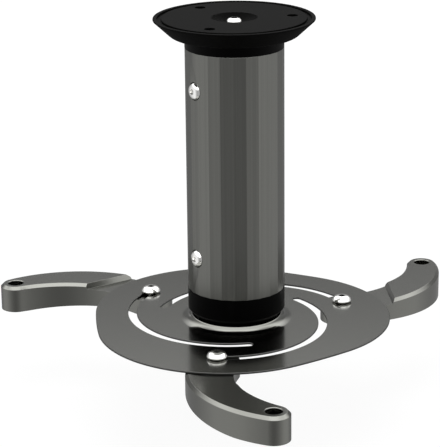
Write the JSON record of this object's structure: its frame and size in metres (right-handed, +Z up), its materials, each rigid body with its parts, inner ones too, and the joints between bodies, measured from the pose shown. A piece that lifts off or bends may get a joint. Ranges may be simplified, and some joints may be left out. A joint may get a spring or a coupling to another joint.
{
  "type": "projector ceiling mount",
  "caption": "Ceiling mount for a projector: saucer plate, facetted column, ball clamp that tilts and turns, lobed plate with arc slots, and curved arms that slide and swing.",
  "frame": {"origin": "middle of the ceiling plate's top face, which is also the centre of its screw circle", "axes": "+Z points up at the ceiling, along the column's axis; -Y is the side that the picture shows"},
  "size_m": [0.3361, 0.3139, 0.2394],
  "materials": {
    "black_casting": "satin black powder coat on cast aluminium",
    "black_ends": "semi-gloss black coat on cast aluminium",
    "dark_tube": "dark grey anodised extrusion",
    "bright_screws": "bright nickel plate",
    "zinc_steel": "zinc plate",
    "turned_steel": "turned steel",
    "spring_steel": "phosphated spring steel",
    "dark_sheet": "dark grey semi-gloss paint on sheet steel",
    "dark_arm": "dark grey satin paint on cast aluminium"
  },
  "bodies": {
    "ceiling": {"ceiling_plate": "black_casting", "pivot_bolt": "bright_screws", "pivot_washer": "zinc_steel", "pivot_nut": "zinc_steel"},
    "column": {"top_plug": "black_ends", "column_tube": "dark_tube", "upper_front_screw": "bright_screws", "upper_back_screw": "bright_screws", "lower_front_screw": "bright_screws", "lower_back_screw": "bright_screws", "ball_collar": "black_ends"},
    "clamp": {"clamp_saddle": "turned_steel", "clamp_spring": "spring_steel", "clamp_bolt": "zinc_steel", "clamp_washer": "zinc_steel", "clamp_nut": "zinc_steel"},
    "plate": {"support_plate": "dark_sheet"},
    "carrier_1": {"arm_bolt_1": "bright_screws", "arm_washer_1": "zinc_steel", "arm_nut_1": "zinc_steel"},
    "swing_arm_1": {"arm_1": "dark_arm"},
    "carrier_2": {"arm_bolt_2": "bright_screws", "arm_washer_2": "zinc_steel", "arm_nut_2": "zinc_steel"},
    "swing_arm_2": {"arm_2": "dark_arm"},
    "carrier_3": {"arm_bolt_3": "bright_screws", "arm_washer_3": "zinc_steel", "arm_nut_3": "zinc_steel"},
    "swing_arm_3": {"arm_3": "dark_arm"}
  },
  "joints": [
    {"name": "column_swivel", "type": "hinge", "parent": "ceiling", "child": "column", "pos_m": [0, 0, 0], "axis": [0, 0, 1], "continuous": true},
    {"name": "head_tilt", "type": "hinge", "parent": "column", "child": "clamp", "pos_m": [0, 0, -0.18477], "axis": [1, 0, 0], "range_deg": [-15, 15]},
    {"name": "plate_spin", "type": "hinge", "parent": "clamp", "child": "plate", "pos_m": [0, 0, -0.18477], "axis": [0, 0, 1], "continuous": true},
    {"name": "arm_1_slide", "type": "hinge", "parent": "plate", "child": "carrier_1", "pos_m": [-0.00526, 0.0133, -0.2219], "axis": [0, 0, 1], "range_deg": [0, 60]},
    {"name": "arm_1_swing", "type": "hinge", "parent": "carrier_1", "child": "swing_arm_1", "pos_m": [-0.06429, 0.05311, -0.2219], "axis": [0, 0, 1], "range_deg": [-20, 20]},
    {"name": "arm_2_slide", "type": "hinge", "parent": "plate", "child": "carrier_2", "pos_m": [-0.00888, -0.01121, -0.2219], "axis": [0, 0, 1], "range_deg": [0, 60]},
    {"name": "arm_2_swing", "type": "hinge", "parent": "carrier_2", "child": "swing_arm_2", "pos_m": [-0.01385, -0.08223, -0.2219], "axis": [0, 0, 1], "range_deg": [-20, 20]},
    {"name": "arm_3_slide", "type": "hinge", "parent": "plate", "child": "carrier_3", "pos_m": [0.01415, -0.00209, -0.2219], "axis": [0, 0, 1], "range_deg": [0, 60]},
    {"name": "arm_3_swing", "type": "hinge", "parent": "carrier_3", "child": "swing_arm_3", "pos_m": [0.07814, 0.02912, -0.2219], "axis": [0, 0, 1], "range_deg": [-20, 20]}
  ]
}
